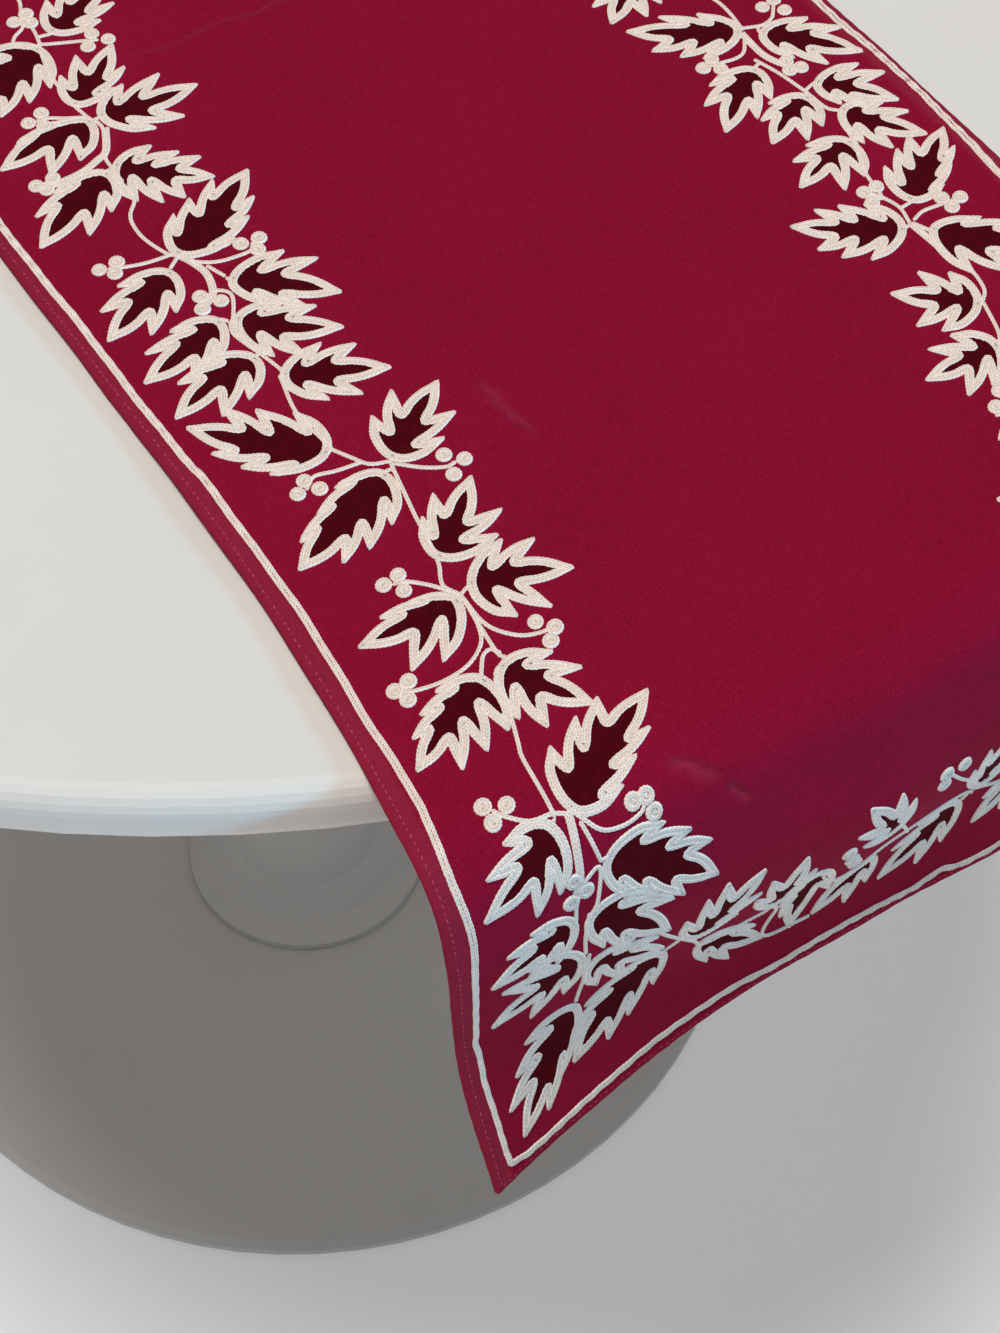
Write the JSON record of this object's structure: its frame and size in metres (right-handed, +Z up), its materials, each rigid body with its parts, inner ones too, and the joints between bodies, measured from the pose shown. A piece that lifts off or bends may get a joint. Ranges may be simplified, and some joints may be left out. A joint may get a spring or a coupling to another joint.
{
  "type": "crewel table runner on a plain round table",
  "caption": "Maroon cotton table runner with cream crewel leaf vines, draped over a plain round white pedestal table, both ends hanging.",
  "frame": {"origin": "centre of the bounding box at floor level, on the axis of the round table", "axes": "+Z up; the runner lies along Y and the pictured end hangs towards -Y; +X to the right when facing that end"},
  "size_m": [0.914, 1.0044, 0.7525],
  "materials": {
    "runner_cloth": "matt plain-weave cotton",
    "table_paint": "satin white paint on wood"
  },
  "bodies": {
    "root": {"runner": "runner_cloth", "table_top": "table_paint", "table_column": "table_paint", "table_foot": "table_paint"}
  },
  "joints": []
}
